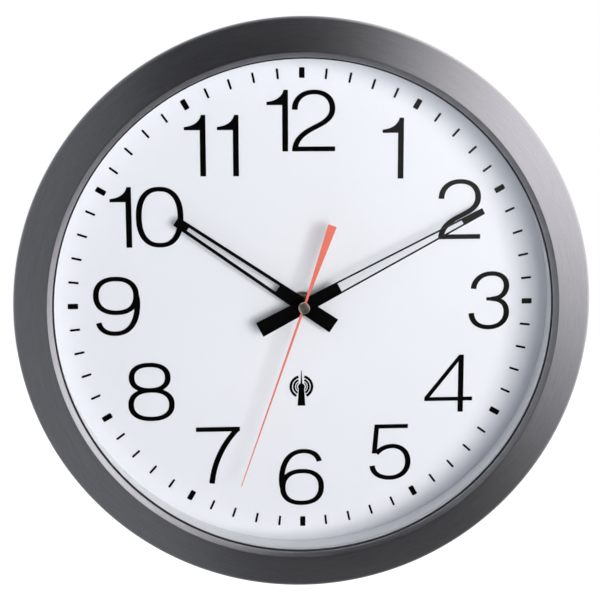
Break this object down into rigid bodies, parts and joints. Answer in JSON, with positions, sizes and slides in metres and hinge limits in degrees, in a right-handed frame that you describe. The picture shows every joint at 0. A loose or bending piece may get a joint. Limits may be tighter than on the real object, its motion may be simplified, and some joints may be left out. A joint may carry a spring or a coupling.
{
  "type": "outdoor wall clock",
  "caption": "Round outdoor wall clock with a deep spun metal bezel, flat glass, white dial, slotted hands and a radio-controlled quartz movement behind a hinged door.",
  "frame": {"origin": "centre of the hanger plate's round keyhole, on the plate's rear face", "axes": "+X to three o'clock as seen from the front, +Z to twelve o'clock, +Y into the wall"},
  "size_m": [0.355, 0.062, 0.355],
  "materials": {
    "spun_steel": "spun, brushed round the bezel",
    "zinc_steel": "bright zinc",
    "rubber": "matte black",
    "clear_glass": "clear, polished",
    "white_plastic": "satin white",
    "dial_sheet": "matte cool white",
    "dial_ink": "matte black ink",
    "shell_plastic": "fine moulded grain",
    "door_plastic": "fine moulded grain",
    "hand_black": "satin black",
    "hand_coral": "satin coral red",
    "spun_cap": "spun face, bright rim",
    "brass": "turned",
    "nylon": "natural",
    "copper_wire": "enamelled winding",
    "motor_iron": "stamped",
    "magnet": "bonded, dark grey",
    "ferrite": "pressed, matte",
    "board": "solder mask",
    "chip": "moulded",
    "tin": "nickel plated",
    "cell_jacket": "shrunk film",
    "button_plastic": "smooth"
  },
  "bodies": {
    "case": {"bezel": "spun_steel", "bezel_tabs": "zinc_steel", "lens_channel": "rubber", "lens": "clear_glass", "reflector_ring": "white_plastic", "dial": "dial_sheet", "dial_marks": "dial_ink", "back_shell": "shell_plastic", "shell_gasket": "rubber", "case_screws": "zinc_steel", "wall_pads": "rubber", "hanger_plate": "zinc_steel", "hanger_screws": "zinc_steel", "hinge_pin": "zinc_steel", "seat_washer": "rubber", "hub_washer": "brass", "hub_nut": "brass", "stem_bush": "brass", "movement_front": "nylon", "movement_rear": "nylon", "seconds_stator": "motor_iron", "minutes_stator": "motor_iron", "seconds_coil": "copper_wire", "minutes_coil": "copper_wire", "circuit_board": "board", "receiver_chip": "chip", "quartz_crystal": "tin", "button_switches": "tin", "antenna_rod": "ferrite", "antenna_winding": "copper_wire", "battery_cell": "cell_jacket", "positive_contact": "tin", "negative_contact": "tin"},
    "door": {"battery_door": "door_plastic", "door_gasket": "rubber"},
    "hour": {"hour_wheel": "nylon", "hour_hand": "hand_black"},
    "minute": {"minute_wheel": "nylon", "minute_hand": "hand_black"},
    "second": {"seconds_wheel": "nylon", "second_hand": "hand_coral", "second_hand_cap": "spun_cap"},
    "motion": {"motion_wheel": "nylon"},
    "seconds_third": {"seconds_third_wheel": "nylon"},
    "minutes_third": {"minutes_third_wheel": "nylon"},
    "rotor_seconds": {"seconds_rotor": "magnet"},
    "rotor_minutes": {"minutes_rotor": "magnet"},
    "set": {"set_button": "button_plastic"},
    "receive": {"receive_button": "button_plastic"},
    "reset": {"reset_button": "button_plastic"}
  },
  "joints": [
    {"name": "second_turn", "type": "hinge", "parent": "case", "child": "second", "pos_m": [0, -0.0395, -0.128], "axis": [0, 1, 0], "continuous": true},
    {"name": "seconds_third_turn", "type": "hinge", "parent": "case", "child": "seconds_third", "pos_m": [-0.0077, -0.0105, -0.13159], "axis": [0, 1, 0], "continuous": true},
    {"name": "seconds_rotor_turn", "type": "hinge", "parent": "case", "child": "rotor_seconds", "pos_m": [-0.01263, -0.0105, -0.13246], "axis": [0, 1, 0], "continuous": true},
    {"name": "minute_turn", "type": "hinge", "parent": "case", "child": "minute", "pos_m": [0, -0.0355, -0.128], "axis": [0, 1, 0], "continuous": true},
    {"name": "hour_turn", "type": "hinge", "parent": "case", "child": "hour", "pos_m": [0, -0.0315, -0.128], "axis": [0, 1, 0], "continuous": true},
    {"name": "motion_turn", "type": "hinge", "parent": "case", "child": "motion", "pos_m": [0, -0.0145, -0.1205], "axis": [0, 1, 0], "continuous": true},
    {"name": "minutes_third_turn", "type": "hinge", "parent": "case", "child": "minutes_third", "pos_m": [0.0077, -0.0105, -0.13159], "axis": [0, 1, 0], "continuous": true},
    {"name": "minutes_rotor_turn", "type": "hinge", "parent": "case", "child": "rotor_minutes", "pos_m": [0.01479, -0.0105, -0.13284], "axis": [0, 1, 0], "continuous": true},
    {"name": "door_swing", "type": "hinge", "parent": "case", "child": "door", "pos_m": [-0.0464, -0.0019, -0.136], "axis": [0, 0, 1], "range_deg": [0, 110]},
    {"name": "set_press", "type": "slide", "parent": "case", "child": "set", "axis": [0, -1, 0], "range_m": [0, 0.0007], "stiffness_N_per_m": 400},
    {"name": "receive_press", "type": "slide", "parent": "case", "child": "receive", "axis": [0, -1, 0], "range_m": [0, 0.0007], "stiffness_N_per_m": 400},
    {"name": "reset_press", "type": "slide", "parent": "case", "child": "reset", "axis": [0, -1, 0], "range_m": [0, 0.0007], "stiffness_N_per_m": 400}
  ],
  "couplings": [
    {"joint": "seconds_third_turn", "follows": "second_turn", "ratio": -7.5},
    {"joint": "seconds_rotor_turn", "follows": "second_turn", "ratio": 30},
    {"joint": "hour_turn", "follows": "minute_turn", "ratio": 0.083333},
    {"joint": "motion_turn", "follows": "minute_turn", "ratio": -0.33333},
    {"joint": "minutes_third_turn", "follows": "minute_turn", "ratio": -7.5},
    {"joint": "minutes_rotor_turn", "follows": "minute_turn", "ratio": 60}
  ]
}
